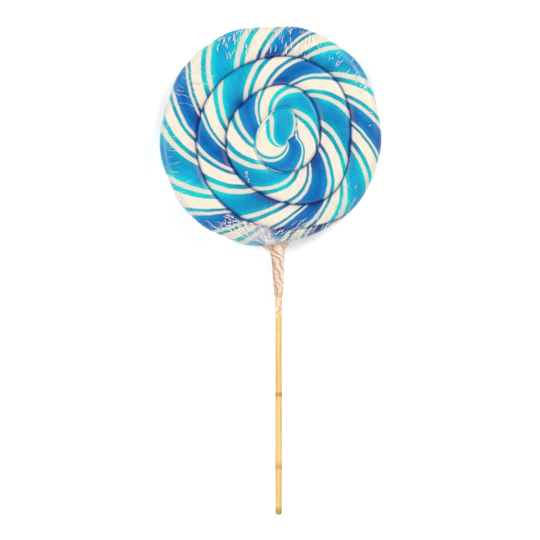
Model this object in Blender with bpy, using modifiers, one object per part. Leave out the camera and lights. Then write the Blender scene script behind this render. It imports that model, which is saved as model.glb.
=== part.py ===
"""A swirl lollipop lying on its back: a coiled sugar rope pressed flat, on a bamboo stick, in clear film.

The film is gathered round the stick below the candy, twisted into a neck, and held by a band of tape.
Metres, +Z up. +Y runs from the stick's tip to the head. The origin is the middle of the footprint,
on the surface the lollipop lies on.
"""

import math

import bmesh
import bpy
import numpy as np

MM = 0.001

# Overall, in millimetres.
LENGTH = 231.2
CLEARANCE = 0.3          # between pieces that touch in the real one
FILM_WALL = 0.4          # the film is far thinner; this is the least that makes a sound solid

# Head: a rope of sugar coiled flat.
DISC_RADIUS = 51.7
DISC_OVAL = 0.9          # how much the disc is longer on one diagonal, and shorter on the other
CANDY_THICKNESS = 12.0
RIM_ROUND_IN = 4.5       # how far in from the rim its rounding starts
RIM_ROUND_DOWN = 4.2     # how far down it reaches
GROOVE_DEPTH = 1.8       # of the seam between two turns of the rope
GROOVE_ROUND = 3.2       # how far the rope's shoulder reaches from the seam
EYE_X = 7.7              # the coil starts here, beside the disc's centre
EYE_Y = -2.1
COIL_CENTRED_AT = 960.0  # coil angle, in degrees, by which the coil has become concentric with the disc
SEAM_STARTS_OVER = 60.0  # degrees of coil in which the seam reaches its full depth
SEAM_ENDS_OVER = 60.0    # and in which it runs out at the rim

# The seam is an even spiral, pushed outward where the rope was coiled thick, that runs out at the rim.
# Each thick place: coil angle in degrees, how much farther out, and its spread in degrees.
SEAM_START = 7.5         # the spiral's distance from the coil's centre at coil angle 0
ROPE_WIDTH = 11.0        # how much farther out it lies after each turn
SEAM_OPENS_OVER = 90.0   # degrees of coil in which the seam leaves the eye's middle
THICK_PLACES = ((88.0, 5.3, 32.0), (432.0, 4.2, 42.0), (670.0, 8.5, 38.0), (765.0, 8.2, 62.0))
SEAM_RUN_OUT = 135.0     # degrees of coil in which it swings out to the rim
SEAM_END = 1035.0        # where it meets the rim
ROPE_END = SEAM_END + 360.0                # and the rope's tapered end lies beside it
COIL_STEP = 9.0                            # degrees between two sections of the rope
ACROSS = (0.0, 0.06, 0.17, 0.36, 0.64, 0.83, 0.94)

# Stick.
STICK_RADIUS = 1.5
STICK_X = 4.1            # it enters the head off centre
STICK_DEPTH = 32.0       # how far it is sunk into the candy
STICK_END_ROUND = 0.8

# Film and tape. Each row: Y, centre in X, half width, half height.
NECK_SECTIONS = (
    (20.0, 0.0, 11.0, 5.2),
    (14.0, 0.6, 9.2, 4.8),
    (12.0, 1.4, 6.8, 4.4),
    (10.2, 2.6, 4.5, 3.9),
    (8.2, 3.6, 3.3, 3.3),
    (4.0, 3.9, 3.1, 3.1),
    (-1.2, 4.0, 2.9, 2.9),
    (-6.0, 4.1, 2.6, 2.6),
    (-12.5, 4.1, 2.3, 2.3),
)
NECK_STRANDS = 5         # folds of film that wind round the neck
NECK_STRAND_RISE = 0.07  # how much a fold stands out, as a share of the neck's radius
NECK_TWIST = 13.0        # degrees turned for each millimetre along the stick
NECK_STEP = 1.6
NECK_SIDES = 30
TAPE_TOP = -12.8
TAPE_BOTTOM = -21.9
TAPE_WALL = 0.3

# Worked out from the above.
HALF = CANDY_THICKNESS / 2
SHELL = CLEARANCE + FILM_WALL
MID_Z = HALF + SHELL
HEAD_Y = LENGTH / 2 - (DISC_RADIUS + SHELL)
BORE_RADIUS = STICK_RADIUS + CLEARANCE
RIM_BOTTOM_Y = HEAD_Y - DISC_RADIUS
STICK_TOP_Y = RIM_BOTTOM_Y + STICK_DEPTH

CANDY_CYAN = (0.0, 0.52, 0.68)
BAMBOO = (0.93, 0.62, 0.27)
FILM_CLEAR = (0.90, 0.88, 0.86)
TAPE_BEIGE = (0.86, 0.70, 0.56)


def make_material(name, colour, roughness, alpha=1.0):
    material = bpy.data.materials.new(name)
    material.use_nodes = True
    shader = material.node_tree.nodes["Principled BSDF"]
    shader.inputs["Base Color"].default_value = (*colour, 1.0)
    shader.inputs["Roughness"].default_value = roughness
    shader.inputs["Metallic"].default_value = 0.0
    shader.inputs["Alpha"].default_value = alpha
    return material


def add_object(name, bm, collection, location=(0.0, 0.0, 0.0), rotation=(0.0, 0.0, 0.0)):
    """Turns a bmesh in millimetres into an object in metres."""
    bmesh.ops.scale(bm, vec=(MM, MM, MM), verts=bm.verts)
    mesh = bpy.data.meshes.new(name)
    bm.to_mesh(mesh)
    bm.free()
    obj = bpy.data.objects.new(name, mesh)
    collection.objects.link(obj)
    obj.location = [value * MM for value in location]
    obj.rotation_euler = rotation
    return obj


def make_cutter(obj):
    obj.hide_render = True
    obj.display_type = "WIRE"
    return obj


def add_boolean(obj, operation, other):
    modifier = obj.modifiers.new(operation.title() + " " + other.name, "BOOLEAN")
    modifier.operation = operation
    modifier.solver = "EXACT"
    modifier.object = other


def smooth_step(value):
    clipped = min(max(value, 0.0), 1.0)
    return clipped * clipped * (3.0 - 2.0 * clipped)


def rim_radius(degrees):
    return DISC_RADIUS + DISC_OVAL * math.sin(2.0 * math.radians(degrees))


def seam_radius(degrees):
    """The seam's distance from the coil's centre: a spiral with thick places, from the eye out to the rim."""
    radius = SEAM_START + ROPE_WIDTH * degrees / 360.0
    for middle, extra, spread in THICK_PLACES:
        radius += extra * math.exp(-((degrees - middle) / spread) ** 2)
    radius *= math.sin(0.5 * math.pi * min(degrees / SEAM_OPENS_OVER, 1.0))
    run_out = min(max((degrees - SEAM_END) / SEAM_RUN_OUT + 1.0, 0.0), 1.0) ** 2
    return radius + run_out * (rim_radius(SEAM_END) - radius)


def seam_point(degrees):
    """The seam's place at a coil angle, from the disc's centre."""
    if degrees <= 0.0:
        return np.array((EYE_X, EYE_Y))
    off_centre = max(1.0 - degrees / COIL_CENTRED_AT, 0.0)
    radius = seam_radius(degrees) if degrees < SEAM_END else rim_radius(degrees)
    angle = math.radians(degrees)
    direction = np.array((math.cos(angle), math.sin(angle)))
    return np.array((EYE_X, EYE_Y)) * off_centre + radius * direction


def rounded_drop(distance, reach, depth):
    """How far a surface has dropped at this distance from an edge it curves down to."""
    t = 1.0 - min(max(distance / reach, 0.0), 1.0)
    return depth * (1.0 - math.sqrt(1.0 - t * t))


def seam_depth(degrees):
    start = smooth_step(degrees / SEAM_STARTS_OVER)
    end = smooth_step((SEAM_END - degrees) / SEAM_ENDS_OVER)
    return GROOVE_DEPTH * start * end


def rope_height(point, degrees, share, width):
    """Height of the rope's upper side above the disc's middle plane."""
    seam_in = seam_depth(degrees - 360.0)
    seam_out = seam_depth(degrees)
    reach = min(GROOVE_ROUND, max(width / 2.0, 0.1))
    to_rim = rim_radius(math.degrees(math.atan2(point[1], point[0]))) - math.hypot(*point)
    drop = max(
        rounded_drop(share * width, reach, seam_in),
        rounded_drop((1.0 - share) * width, reach, seam_out),
        rounded_drop(to_rim, RIM_ROUND_IN, RIM_ROUND_DOWN),
    )
    return HALF - drop


def build_rope_side(bm, side):
    """One face of the coil. The outer edge of each turn is the inner edge of the next."""
    steps_a_turn = round(360.0 / COIL_STEP)
    steps = round(ROPE_END / COIL_STEP)
    rows = []
    eye = bm.verts.new((EYE_X, EYE_Y, side * HALF))
    for step in range(steps):
        degrees = step * COIL_STEP
        inner = seam_point(degrees - 360.0)
        outer = seam_point(degrees)
        width = float(np.linalg.norm(outer - inner))
        row = []
        for share in ACROSS:
            if share == 0.0 and degrees <= 360.0:
                row.append(eye)
                continue
            point = inner + (outer - inner) * share
            row.append(bm.verts.new((*point, side * rope_height(point, degrees, share, width))))
        rows.append(row)

    rim = []
    first_rim_step = round(SEAM_END / COIL_STEP)
    for step in range(first_rim_step, steps):
        point = seam_point(step * COIL_STEP)
        rim.append(bm.verts.new((*point, side * (HALF - RIM_ROUND_DOWN))))

    def outer_vertex(step):
        if step < first_rim_step:
            return rows[step + steps_a_turn][0] if step + steps_a_turn < steps else rim[0]
        return rim[(step - first_rim_step) % len(rim)]

    def row_at(step):
        if step == steps:
            return [rim[0]] * (len(ACROSS) + 1)
        return [*rows[step], outer_vertex(step)]

    for step in range(steps):
        here = row_at(step)
        beyond = row_at(step + 1)
        for k in range(len(ACROSS)):
            corners = []
            for vertex in (here[k], here[k + 1], beyond[k + 1], beyond[k]):
                if vertex not in corners:
                    corners.append(vertex)
            if len(corners) > 2:
                bm.faces.new(corners if side > 0 else corners[::-1])
    return rim


def build_candy(collection, cutters):
    bm = bmesh.new()
    top_rim = build_rope_side(bm, 1.0)
    bottom_rim = build_rope_side(bm, -1.0)
    count = len(top_rim)
    for k in range(count):
        after = (k + 1) % count
        bm.faces.new((top_rim[k], bottom_rim[k], bottom_rim[after], top_rim[after]))
    bmesh.ops.recalc_face_normals(bm, faces=bm.faces)
    candy = add_object("candy_swirl", bm, collection, (0.0, HEAD_Y, MID_Z))
    candy.data.shade_smooth()
    candy.data.set_sharp_from_angle(angle=math.radians(50.0))

    hole_top = STICK_TOP_Y + CLEARANCE
    hole = add_rod("stick_hole", BORE_RADIUS, RIM_BOTTOM_Y - 5.0, hole_top, cutters)
    add_boolean(candy, "DIFFERENCE", make_cutter(hole))
    candy.data.materials.append(make_material("pulled_sugar", CANDY_CYAN, 0.25))
    return candy


def add_rod(name, radius, low_y, high_y, collection, sides=24):
    """A round rod along Y at the stick's place."""
    bm = bmesh.new()
    bmesh.ops.create_cone(
        bm, cap_ends=True, segments=sides, radius1=radius, radius2=radius, depth=high_y - low_y
    )
    middle = (STICK_X, (low_y + high_y) / 2.0, MID_Z)
    return add_object(name, bm, collection, middle, (-math.pi / 2.0, 0.0, 0.0))


def build_stick(collection):
    stick = add_rod("stick", STICK_RADIUS, -LENGTH / 2.0, STICK_TOP_Y, collection, sides=20)
    bevel = stick.modifiers.new("Rounded ends", "BEVEL")
    bevel.width = STICK_END_ROUND * MM
    bevel.segments = 3
    bevel.limit_method = "ANGLE"
    bevel.angle_limit = math.radians(60.0)
    stick.data.shade_smooth()
    stick.data.set_sharp_from_angle(angle=math.radians(50.0))
    stick.data.materials.append(make_material("bamboo", BAMBOO, 0.5))
    return stick


def pillow_mesh(offset, sides=60, arc_steps=4):
    """The candy's outer form without its seams, grown by an offset."""
    half = HALF + offset
    reach = RIM_ROUND_IN + offset
    down = RIM_ROUND_DOWN + offset
    profile = []
    for k in range(arc_steps + 1):
        angle = math.pi / 2.0 * k / arc_steps
        profile.append((reach * (1.0 - math.sin(angle)), half - down * (1.0 - math.cos(angle))))
    profile += [(inset, -height) for inset, height in reversed(profile)]
    bm = bmesh.new()
    rings = []
    for inset, height in profile:
        ring = []
        for k in range(sides):
            degrees = 360.0 * k / sides
            radius = rim_radius(degrees) + offset - inset
            angle = math.radians(degrees)
            ring.append(bm.verts.new((radius * math.cos(angle), radius * math.sin(angle), height)))
        rings.append(ring)
    for upper, lower in zip(rings, rings[1:]):
        for k in range(sides):
            after = (k + 1) % sides
            bm.faces.new((upper[k], lower[k], lower[after], upper[after]))
    bm.faces.new(rings[0])
    bm.faces.new(rings[-1][::-1])
    return bm


def neck_section(y):
    """Centre in X, half width and half height of the gathered film, at a place along the stick."""
    rows = NECK_SECTIONS[::-1]
    places = [row[0] for row in rows]
    return [float(np.interp(y, places, [row[k] for row in rows])) for k in (1, 2, 3)]


def neck_mesh():
    """A loft from the wide gather under the head to the twisted neck on the stick."""
    top = NECK_SECTIONS[0][0]
    bottom = NECK_SECTIONS[-1][0]
    steps = round((top - bottom) / NECK_STEP)
    bm = bmesh.new()
    rings = []
    for step in range(steps + 1):
        y = top + (bottom - top) * step / steps
        centre_x, half_width, half_height = neck_section(y)
        ring = []
        for k in range(NECK_SIDES):
            angle = math.tau * k / NECK_SIDES
            fold = math.cos(NECK_STRANDS * (angle - math.radians(NECK_TWIST * y)))
            swell = 1.0 + NECK_STRAND_RISE * fold
            x = centre_x + half_width * swell * math.cos(angle)
            z = MID_Z + half_height * swell * math.sin(angle)
            ring.append(bm.verts.new((x, y, z)))
        rings.append(ring)
    for upper, lower in zip(rings, rings[1:]):
        for k in range(NECK_SIDES):
            after = (k + 1) % NECK_SIDES
            bm.faces.new((upper[k], upper[after], lower[after], lower[k]))
    bm.faces.new(rings[0])
    bm.faces.new(rings[-1])
    bmesh.ops.recalc_face_normals(bm, faces=bm.faces)
    return bm


def build_film(collection, cutters):
    """One sheet of film: a skin over the head, gathered into a twisted neck that the stick runs through."""
    head = (0.0, HEAD_Y, MID_Z)
    film = add_object("film_wrap", pillow_mesh(SHELL), collection, head)
    neck = add_object("film_gather", neck_mesh(), cutters)
    inside = add_object("film_inside", pillow_mesh(CLEARANCE), cutters, head)
    bore = add_rod("film_bore", BORE_RADIUS, NECK_SECTIONS[-1][0] - 2.0, RIM_BOTTOM_Y + 4.0, cutters)
    add_boolean(film, "UNION", make_cutter(neck))
    add_boolean(film, "DIFFERENCE", make_cutter(inside))
    add_boolean(film, "DIFFERENCE", make_cutter(bore))
    film.data.shade_smooth()
    film.data.set_sharp_from_angle(angle=math.radians(50.0))
    film.data.materials.append(make_material("clear_film", FILM_CLEAR, 0.15, alpha=0.3))
    return film


def build_tape(collection):
    """A band of tape that holds the film's tail on the stick."""
    bpy.ops.mesh.primitive_cylinder_add(
        vertices=24,
        radius=BORE_RADIUS * MM,
        depth=(TAPE_TOP - TAPE_BOTTOM) * MM,
        end_fill_type="NOTHING",
        location=(STICK_X * MM, (TAPE_TOP + TAPE_BOTTOM) / 2.0 * MM, MID_Z * MM),
        rotation=(-math.pi / 2.0, 0.0, 0.0),
    )
    tape = bpy.context.object
    tape.name = "tape_band"
    for holder in list(tape.users_collection):
        holder.objects.unlink(tape)
    collection.objects.link(tape)
    wall = tape.modifiers.new("Tape thickness", "SOLIDIFY")
    wall.thickness = TAPE_WALL * MM
    wall.offset = 1.0
    tape.data.shade_smooth()
    tape.data.set_sharp_from_angle(angle=math.radians(50.0))
    tape.data.materials.append(make_material("clear_tape", TAPE_BEIGE, 0.3, alpha=0.6))
    return tape


def main():
    for obj in list(bpy.data.objects):
        bpy.data.objects.remove(obj)
    collection = bpy.data.collections.new("swirl_lollipop")
    cutters = bpy.data.collections.new("cutters")
    for group in (collection, cutters):
        bpy.context.scene.collection.children.link(group)

    lollipop = bpy.data.objects.new("lollipop", None)
    collection.objects.link(lollipop)
    pieces = (
        build_candy(collection, cutters),
        build_stick(collection),
        build_film(collection, cutters),
        build_tape(collection),
    )
    for piece in pieces:
        piece.parent = lollipop


main()
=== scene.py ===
"""Swirl lollipop: a twisted, coiled sugar rope on a bamboo stick, in clear film, round the fixed frame."""

import math

import bmesh
import bpy
import numpy as np
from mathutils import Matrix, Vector


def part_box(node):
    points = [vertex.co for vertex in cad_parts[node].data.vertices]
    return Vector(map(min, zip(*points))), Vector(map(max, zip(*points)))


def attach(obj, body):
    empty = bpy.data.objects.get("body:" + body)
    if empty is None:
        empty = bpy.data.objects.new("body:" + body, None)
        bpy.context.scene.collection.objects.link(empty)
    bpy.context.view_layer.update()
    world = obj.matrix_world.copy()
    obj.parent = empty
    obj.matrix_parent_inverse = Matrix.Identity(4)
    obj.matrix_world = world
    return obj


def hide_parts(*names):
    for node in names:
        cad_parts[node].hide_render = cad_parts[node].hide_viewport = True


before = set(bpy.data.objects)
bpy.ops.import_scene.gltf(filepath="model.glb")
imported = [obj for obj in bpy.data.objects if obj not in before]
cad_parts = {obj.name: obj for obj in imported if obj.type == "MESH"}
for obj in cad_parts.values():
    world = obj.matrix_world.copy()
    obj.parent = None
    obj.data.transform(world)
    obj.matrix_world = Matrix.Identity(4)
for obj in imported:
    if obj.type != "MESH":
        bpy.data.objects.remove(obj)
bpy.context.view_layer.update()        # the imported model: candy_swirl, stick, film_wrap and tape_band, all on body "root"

bl_info = {
    "name": "Swirl Lollipop",
    "version": (1, 0, 0),
    "blender": (4, 5, 0),
    "location": "View3D > Sidebar > Lollipop",
    "description": "Builds a coiled, striped lollipop in its clear film",
    "category": "Add Mesh",
}

MM = 0.001

# Places in millimetres, from the frame.
CANDY_LOW, CANDY_HIGH = (np.array(corner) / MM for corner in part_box("candy_swirl"))
STICK_LOW, STICK_HIGH = (np.array(corner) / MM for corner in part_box("stick"))
TAPE_LOW, TAPE_HIGH = (np.array(corner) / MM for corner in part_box("tape_band"))
HEAD_X, HEAD_Y, MID_Z = (CANDY_LOW + CANDY_HIGH) / 2.0
DISC_RADIUS = (CANDY_HIGH[0] - CANDY_LOW[0]) / 2.0
HALF = (CANDY_HIGH[2] - CANDY_LOW[2]) / 2.0
STICK_X = (STICK_LOW[0] + STICK_HIGH[0]) / 2.0
STICK_RADIUS = (STICK_HIGH[0] - STICK_LOW[0]) / 2.0
STICK_END_ROUND = 0.8
BAMBOO_NODES = (-58.5, -92.4)   # where along the stick, in Y, the bamboo has its nodes

# The coil, as in the frame's candy_swirl. Lengths are in millimetres and coil angles in degrees.
FULL_TURN = 360.0
DISC_OVAL = 0.9          # how much the disc is longer on one diagonal, and shorter on the other
RIM_ROUND_IN = 4.5
RIM_ROUND_DOWN = 4.2
EYE = np.array((7.7, -2.1))
COIL_CENTRED_AT = 960.0  # coil angle by which the coil has become concentric with the disc
SEAM_FADE = 60.0         # over which the seam's depth and the rim's relief come and go
# The seam is an even spiral, pushed outward where the rope was coiled thick, that runs out at the rim.
# Each thick place: coil angle, how much farther out, and its spread.
SEAM_START = 7.5
ROPE_WIDTH = 11.0
SEAM_OPENS_OVER = 90.0
THICK_PLACES = ((88.0, 5.3, 32.0), (432.0, 4.2, 42.0), (670.0, 8.5, 38.0), (765.0, 8.2, 62.0))
SEAM_RUN_OUT = 135.0
SEAM_END = 1035.0
ROPE_END = SEAM_END + FULL_TURN
SEAM_FAR = 9.0           # stands for "no seam near" in the seam_distance of a point

# Where the rim was pressed out or in: direction in degrees, amount in millimetres, spread in degrees.
HAND_PRESSED = (
    (48, 1.0, 30), (88, -0.4, 10), (125, 1.5, 24), (165, -0.6, 12),
    (288, -0.8, 16), (325, 1.5, 22), (352, 0.5, 14),
)

# Where the stripes cross the rope, as pulled and coiled by hand. Each row: the twist (a whole number is the
# middle of a blue stripe and a half the middle of a cyan one), the coil angle where it crosses the rope's
# outer edge, how much farther along it reaches the inner edge, and how late it bends that way.
EYE_CROSSINGS = (
    (0.000, 8.0, -60.0, 1.0),
    (0.329, 52.0, -60.0, 1.0),
    (0.385, 78.0, -60.0, 1.0),
    (0.639, 117.0, 287.0, 3.0),
    (0.742, 136.0, 172.0, 1.5),
    (0.857, 190.0, 98.0, 0.65),
    (0.917, 222.0, 95.0, 0.9),
    (1.083, 290.0, 108.0, 1.2),
    (1.162, 308.0, 106.0, 1.4),
    (1.277, 335.0, 92.0, 0.8),
    (1.385, 350.0, 90.0, 0.6),
    (1.639, 422.0, 48.0, 1.0),
)
# The same for the rest of the rope, at each half twist: coil angle and how much farther along.
ROPE_CROSSINGS = (
    (488, 40), (581, 51), (658, 34), (715, 46), (778, 31), (833, 35), (894, 32),
    (955, 30), (1003, 20), (1040, 20), (1075, 24), (1119, 19), (1155, 15), (1190, 19),
    (1226, 27), (1267, 26), (1313, 17), (1345, 10), (1375, 5), (1400, 5),
)
HALF_TWISTS_BEFORE = 4   # the first row of ROPE_CROSSINGS is the middle of the blue stripe at twist 2.0
RIM_SHARE = 0.6          # of the rope's face width that its outer wall takes up, on the way to the back

# The stripes once round the rope, starting at the middle of blue: name and share of the way round.
STRIPES = (
    ("blue", 0.083), ("thin_white", 0.040), ("dark_line", 0.039), ("cream", 0.115), ("cyan_line", 0.052),
    ("thin_white", 0.056), ("cyan", 0.254), ("thin_white", 0.050), ("cyan_line", 0.053), ("cream", 0.115),
    ("dark_line", 0.030), ("thin_white", 0.030), ("blue", 0.083),
)


def linear(colour):
    """An sRGB hex colour as linear values with alpha."""
    values = [int(colour[k:k + 2], 16) / 255.0 for k in (0, 2, 4)]
    return (*(v / 12.92 if v <= 0.04045 else ((v + 0.055) / 1.055) ** 2.4 for v in values), 1.0)


def colour_property(name, description, colour):
    return bpy.props.FloatVectorProperty(
        name=name, description=description, default=linear(colour), size=4, subtype="COLOR", min=0.0, max=1.0
    )


def length_property(name, description, millimetres):
    return bpy.props.FloatProperty(
        name=name, description=description, default=millimetres * MM, min=0.0, precision=5,
        unit="LENGTH", subtype="DISTANCE",
    )


class CandySettings(bpy.types.PropertyGroup):
    """Sizes and colours of the sugar rope."""

    groove_depth: length_property("Groove Depth", "Depth of the seam between two turns of the rope", 1.5)
    inner_shoulder: length_property("Inner Shoulder", "How far a turn slopes to the turn inside it", 4.6)
    outer_shoulder: length_property("Outer Shoulder", "How far a turn slopes to the turn outside it", 2.2)
    swell: length_property("Twist Relief", "How much each twist of the rope swells its surface", 0.14)
    rim_swell: length_property("Rim Relief", "How much each twist of the rope swells its rim", 0.40)
    turn_steps: bpy.props.IntProperty(
        name="Steps a Turn", description="Sections of rope in one turn of the coil", default=240, min=40
    )
    across_steps: bpy.props.IntProperty(
        name="Steps Across", description="Faces across the rope", default=24, min=4
    )
    cream: colour_property("Cream", "Wide white stripes", "F4EBD9")
    thin_white: colour_property("Thin White", "White between the coloured lines", "E4E0D4")
    cyan: colour_property("Cyan", "Middle of the wide cyan stripe", "00AFD8")
    cyan_edge: colour_property("Cyan Edge", "Edges of the wide cyan stripe", "00D8D8")
    cyan_line: colour_property("Cyan Line", "Thin lines beside the cyan stripe", "00D4D2")
    dark_line: colour_property("Dark Line", "Thin lines beside the blue stripe", "00BAC8")
    blue: colour_property("Blue", "Middle of the blue stripe", "0078C3")
    blue_edge: colour_property("Blue Edge", "Edges of the blue stripe", "00A0D4")
    # Seam: the colour of the painted shade multiplied over the sugar near a seam.
    seam: colour_property("Seam", "Shade that the seam between turns lays over the sugar", "4A9AC2")


class StickSettings(bpy.types.PropertyGroup):
    """Sizes and colours of the bamboo stick."""

    node_swell: length_property("Node Swell", "How far a bamboo node stands out", 0.06)
    light: colour_property("Pale Bamboo", "Pale fibres", "FFE89E")
    dark: colour_property("Dark Bamboo", "Darker fibres", "FBCB78")
    tip: colour_property("Tip", "Greyed end of the stick", "B9A46C")


class FilmSettings(bpy.types.PropertyGroup):
    """Sizes and colours of the film and the tape."""

    lift: length_property("Lift", "Gap between the candy and the film", 0.5)
    clear: bpy.props.FloatProperty(
        name="Haze", description="How much of the film itself is seen where it lies flat", default=0.002,
        min=0.0, max=1.0, subtype="FACTOR",
    )
    film: colour_property("Film", "Light that the film throws back", "FBF8F4")
    # Crests: a painted highlight on the twisted film. Pits: painted shade, with the stick's colour showing
    # through.
    highlighted_crest: colour_property("Crests", "Crests of the twisted film", "FFF4E0")
    pit_shade: colour_property("Pits", "Shaded pits between the folds", "B87866")
    tape: colour_property("Tape", "Tape over the film's tail", "E8C49E")


class StageSettings(bpy.types.PropertyGroup):
    """Floor, camera and lamps."""

    view_width: length_property("View Width", "Width of the picture at the lollipop's face", 253.8)
    floor_size: length_property("Floor Size", "Side of the square floor", 4000.0)
    lens: bpy.props.FloatProperty(
        name="Lens", description="Camera lens", default=100.0, min=1.0, unit="CAMERA"
    )


# ---------------------------------------------------------------- modelling helpers


def add_primitive(operator, name, **settings):
    """Adds a primitive with nothing else selected, and names it."""
    bpy.ops.object.select_all(action="DESELECT")
    operator(**settings)
    obj = bpy.context.object
    obj.name = name
    obj.data.name = name
    return obj


def apply_place(obj):
    select_only(obj)
    bpy.ops.object.transform_apply(location=True, rotation=True, scale=True)


def select_only(*objects):
    bpy.ops.object.select_all(action="DESELECT")
    for obj in objects:
        obj.select_set(True)
    bpy.context.view_layer.objects.active = objects[0]


def points_of(obj):
    """The mesh's points in millimetres."""
    found = np.empty(len(obj.data.vertices) * 3, dtype=np.float64)
    obj.data.vertices.foreach_get("co", found)
    return found.reshape(-1, 3) / MM


def move_points(obj, points):
    obj.data.vertices.foreach_set("co", (np.asarray(points) * MM).ravel())
    obj.data.update()


def store(obj, name, values):
    """Keeps one number for each point of the mesh, for its material."""
    layer = obj.data.attributes.new(name, "FLOAT", "POINT")
    layer.data.foreach_set("value", np.asarray(values, dtype=np.float32))


def merge_points(obj, distance=0.004):
    """Merges points that meet, in edit mode, and turns all faces outwards."""
    select_only(obj)
    bpy.ops.object.mode_set(mode="EDIT")
    bpy.ops.mesh.select_all(action="SELECT")
    bpy.ops.mesh.remove_doubles(threshold=distance * MM)
    bpy.ops.mesh.dissolve_degenerate(threshold=distance * MM / 4.0)
    bpy.ops.mesh.normals_make_consistent(inside=False)
    bpy.ops.object.mode_set(mode="OBJECT")


def turn_faces_outward(obj):
    select_only(obj)
    bpy.ops.object.mode_set(mode="EDIT")
    bpy.ops.mesh.select_all(action="SELECT")
    bpy.ops.mesh.normals_make_consistent(inside=False)
    bpy.ops.object.mode_set(mode="OBJECT")


def cut_long_edges(obj, axis, longer_than, cuts):
    """Cuts the edges that run along an axis and are longer than this, in metres, as loop cuts would."""
    select_only(obj)
    bpy.ops.object.mode_set(mode="EDIT")
    mesh = bmesh.from_edit_mesh(obj.data)
    for element in (*mesh.verts, *mesh.edges, *mesh.faces):
        element.select = False
    for edge in mesh.edges:
        start, end = (corner.co[axis] for corner in edge.verts)
        edge.select = abs(start - end) > longer_than
    bmesh.update_edit_mesh(obj.data)
    bpy.ops.mesh.subdivide(number_cuts=cuts)
    bpy.ops.object.mode_set(mode="OBJECT")


def smooth_by_angle(obj, degrees):
    select_only(obj)
    bpy.ops.object.shade_smooth_by_angle(angle=math.radians(degrees))


def finish_piece(obj, material, node):
    """Gives a piece its material, and tells the frame which node it stands for."""
    obj.data.materials.clear()
    obj.data.materials.append(material)
    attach(obj, "root")
    if node:
        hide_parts(node)
    return obj


# ---------------------------------------------------------------- material helpers


def new_material(name):
    """An empty Principled material: the material, its node tree and its shader."""
    material = bpy.data.materials.new(name)
    material.use_nodes = True
    tree = material.node_tree
    return material, tree, tree.nodes["Principled BSDF"]


def add_node(tree, kind, settings=None, inputs=None):
    """Adds a node. An input's value is a plain value or another node's output."""
    node = tree.nodes.new(kind)
    for key, value in (settings or {}).items():
        setattr(node, key, value)
    for key, value in (inputs or {}).items():
        if isinstance(value, bpy.types.NodeSocket):
            tree.links.new(value, node.inputs[key])
        else:
            node.inputs[key].default_value = value
    return node


def set_ramp(node, stops, interpolation="LINEAR"):
    """Fills a colour ramp with (place, colour) stops."""
    ramp = node.color_ramp
    ramp.interpolation = interpolation
    while len(ramp.elements) > 1:
        ramp.elements.remove(ramp.elements[-1])
    ramp.elements[0].position, ramp.elements[0].color = stops[0][0], stops[0][1]
    for place, colour in stops[1:]:
        ramp.elements.new(place).color = colour


# ---------------------------------------------------------------- the coil


def smooth_step(value):
    clipped = np.clip(value, 0.0, 1.0)
    return clipped * clipped * (3.0 - 2.0 * clipped)


def rim_radius(degrees):
    return DISC_RADIUS + DISC_OVAL * np.sin(2.0 * np.radians(degrees))


def seam_radius(degrees):
    """The seam's distance from the coil's centre: a spiral with thick places, from the eye out to the rim."""
    radius = SEAM_START + ROPE_WIDTH * degrees / FULL_TURN
    for middle, extra, spread in THICK_PLACES:
        radius = radius + extra * np.exp(-((degrees - middle) / spread) ** 2)
    radius = radius * np.sin(0.5 * np.pi * np.clip(degrees / SEAM_OPENS_OVER, 0.0, 1.0))
    run_out = np.clip((degrees - SEAM_END) / SEAM_RUN_OUT + 1.0, 0.0, 1.0) ** 2
    return radius + run_out * (rim_radius(SEAM_END) - radius)


def seam_points(degrees):
    """The seam's places at these coil angles, from the disc's centre."""
    off_centre = np.clip(1.0 - np.maximum(degrees, 0.0) / COIL_CENTRED_AT, 0.0, 1.0)
    radius = np.where(degrees < SEAM_END, seam_radius(degrees), rim_radius(degrees))
    radius = np.where(degrees <= 0.0, 0.0, radius)
    angle = np.radians(degrees)
    direction = np.stack((np.cos(angle), np.sin(angle)), axis=1)
    return EYE * off_centre[:, None] + radius[:, None] * direction


def seam_depth(degrees, depth):
    """The seam's depth, which fades at both its ends."""
    return depth * smooth_step(degrees / SEAM_FADE) * smooth_step((SEAM_END - degrees) / SEAM_FADE)


def press_by_hand(points):
    """Moves the head's points in or out where it was pressed unevenly, most at the rim."""
    x, y = points[:, 0] - HEAD_X, points[:, 1] - HEAD_Y
    radius = np.hypot(x, y)
    degrees = np.degrees(np.arctan2(y, x))
    out = np.zeros(len(points))
    for middle, amount, spread in HAND_PRESSED:
        away = (degrees - middle + 180.0) % 360.0 - 180.0
        out += amount * np.exp(-(away / spread) ** 2)
    grown = 1.0 + out / DISC_RADIUS * np.minimum(radius / DISC_RADIUS, 1.0) ** 3
    return np.stack((HEAD_X + x * grown, HEAD_Y + y * grown, points[:, 2]), axis=1)


def rounded_drop(distance, reach, depth):
    """How far a surface has dropped at this distance from an edge it curves down to."""
    t = 1.0 - np.clip(distance / reach, 0.0, 1.0)
    return depth * (1.0 - np.sqrt(1.0 - t * t))


def sloped_drop(distance, reach, depth):
    """The same, with no upright wall at the edge."""
    return depth * (1.0 - np.clip(distance / reach, 0.0, 1.0)) ** 2.4


def crossings():
    """Both sets of crossings as columns: twist, coil angle at the outer edge, sweep and bend."""
    rows = list(EYE_CROSSINGS)
    for k, (outer, sweep) in enumerate(ROPE_CROSSINGS):
        rows.append(((HALF_TWISTS_BEFORE + k) / 2.0, outer, sweep, 1.0))
    return np.array(rows).T


def twist_at(degrees, across):
    """How many twists the rope has made. across is 0 at the face's inner edge, 1 at its outer edge, and runs
    on over the rim to the back."""
    twist, outer, sweep, bend = crossings()
    found = np.empty_like(degrees)
    for value in np.unique(across):
        inward = 1.0 - value
        places = outer + sweep * (inward ** bend if inward > 0.0 else inward)
        # A stripe that would overtake the next is pinched out.
        places = np.minimum.accumulate(places[::-1])[::-1]
        here = across == value
        found[here] = np.interp(degrees[here], places, twist)
    return found


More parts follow.
